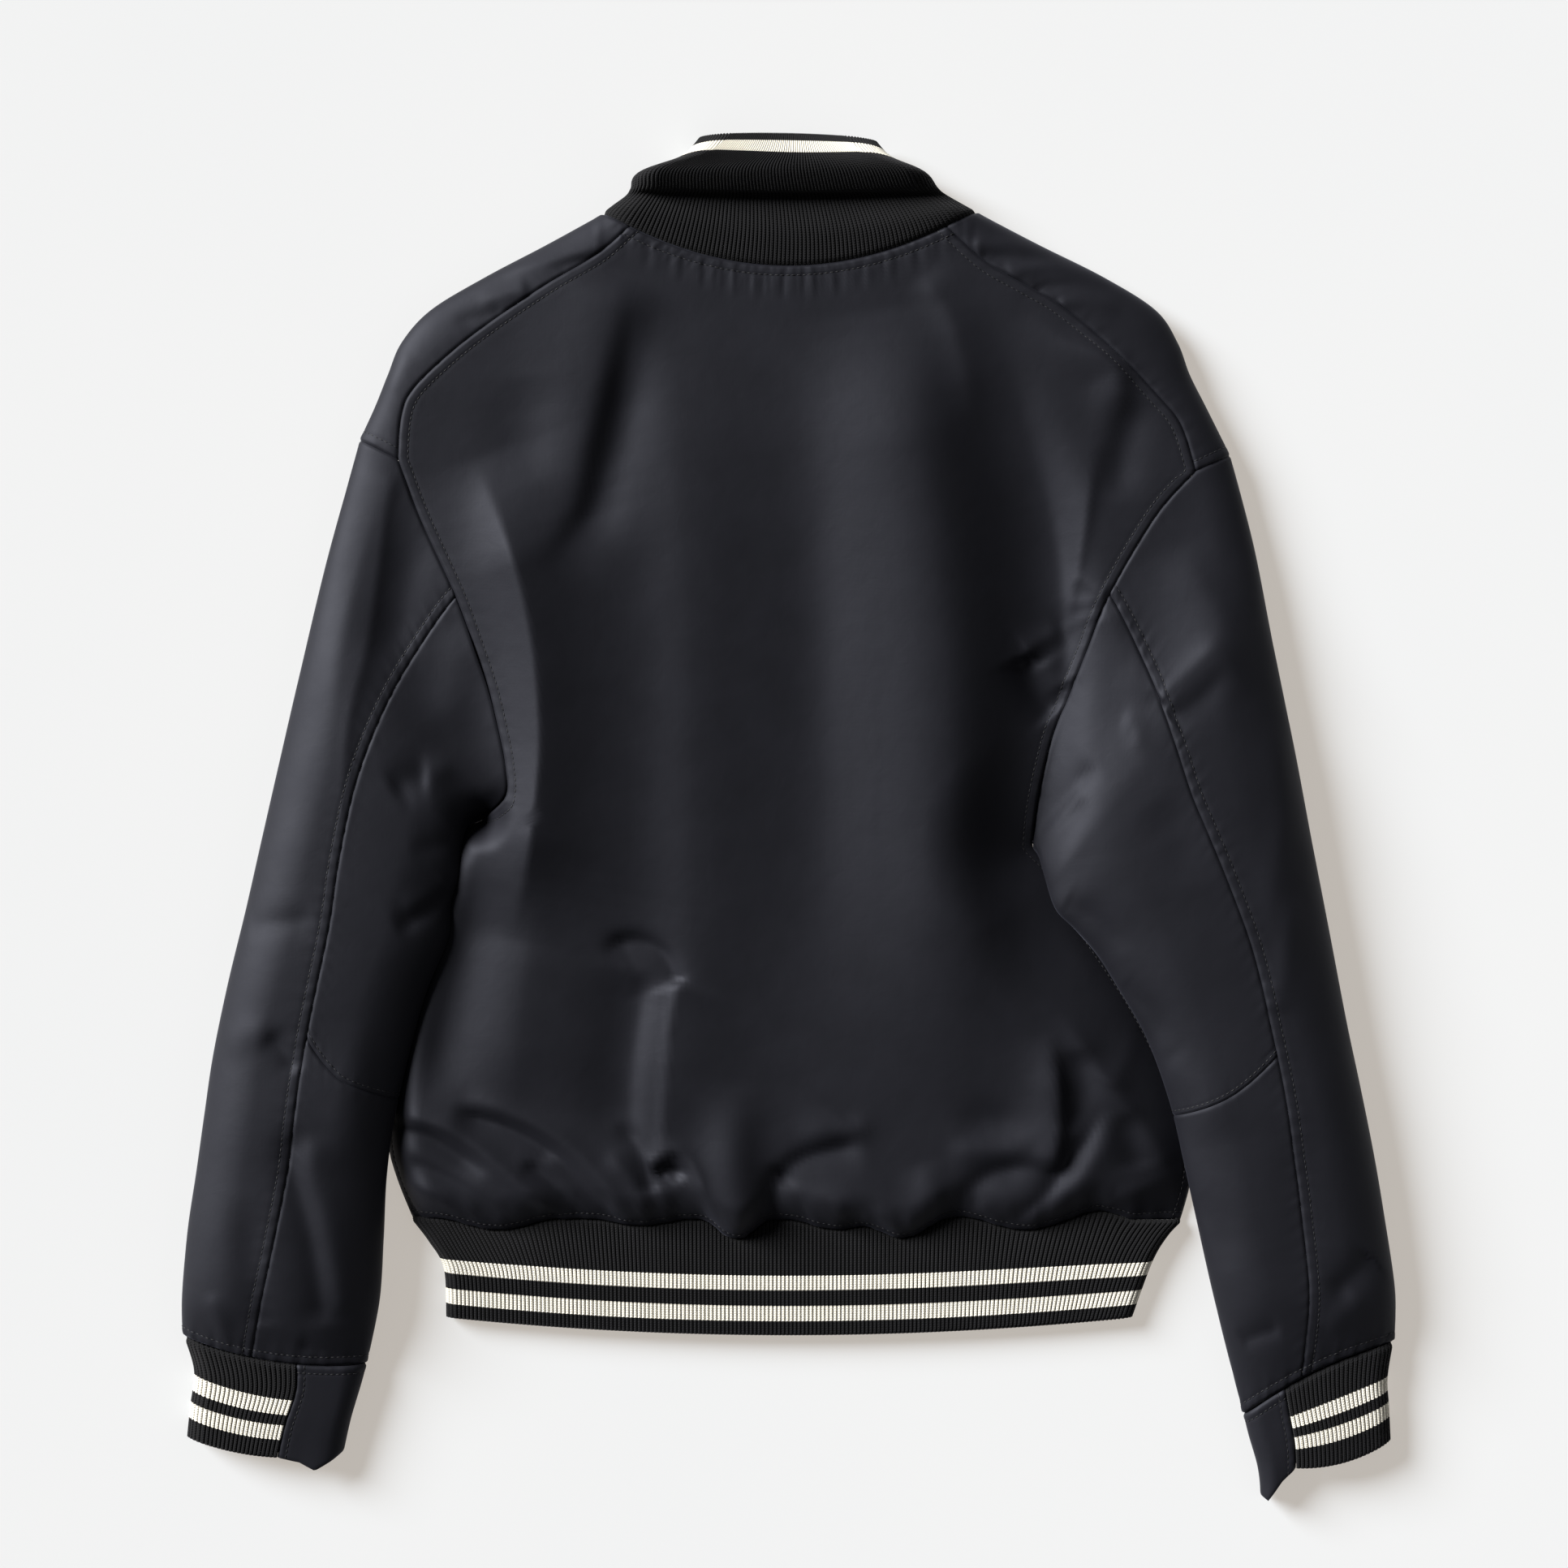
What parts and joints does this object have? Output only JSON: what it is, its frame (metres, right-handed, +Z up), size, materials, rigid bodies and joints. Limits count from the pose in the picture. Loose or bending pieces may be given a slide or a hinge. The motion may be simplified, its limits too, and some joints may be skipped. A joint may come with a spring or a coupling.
{
  "type": "varsity jacket",
  "caption": "Nylon bomber-style varsity jacket laid flat, back up, with striped rib-knit collar, cuffs and hem, saddle shoulders and seamed sleeves.",
  "frame": {"origin": "centre of the bounding box's underside, on the surface that the jacket lies on", "axes": "+Z up from the surface through the back, +Y towards the collar, -X towards the wearer's left sleeve"},
  "size_m": [0.7503, 0.8442, 0.0421],
  "materials": {
    "nylon": "black nylon satin with a soft sheen",
    "rib_knit": "matte black rib knit with cream stripes",
    "snap_metal": "black enamelled snap caps"
  },
  "bodies": {
    "root": {"back_panel": "nylon", "front_left": "nylon", "front_right": "nylon", "shoulder_left": "nylon", "shoulder_right": "nylon", "sleeve_outer_left": "nylon", "sleeve_outer_right": "nylon", "sleeve_inner_left": "nylon", "sleeve_inner_right": "nylon", "sleeve_lower_left": "nylon", "sleeve_lower_right": "nylon", "cuff_rib_left": "rib_knit", "cuff_rib_right": "rib_knit", "cuff_strip_left": "nylon", "cuff_strip_right": "nylon", "hem_rib": "rib_knit", "collar_rib": "rib_knit", "snap_cap_1": "snap_metal", "snap_cap_2": "snap_metal", "snap_cap_3": "snap_metal", "snap_cap_4": "snap_metal", "snap_cap_5": "snap_metal", "snap_cap_6": "snap_metal"}
  },
  "joints": []
}
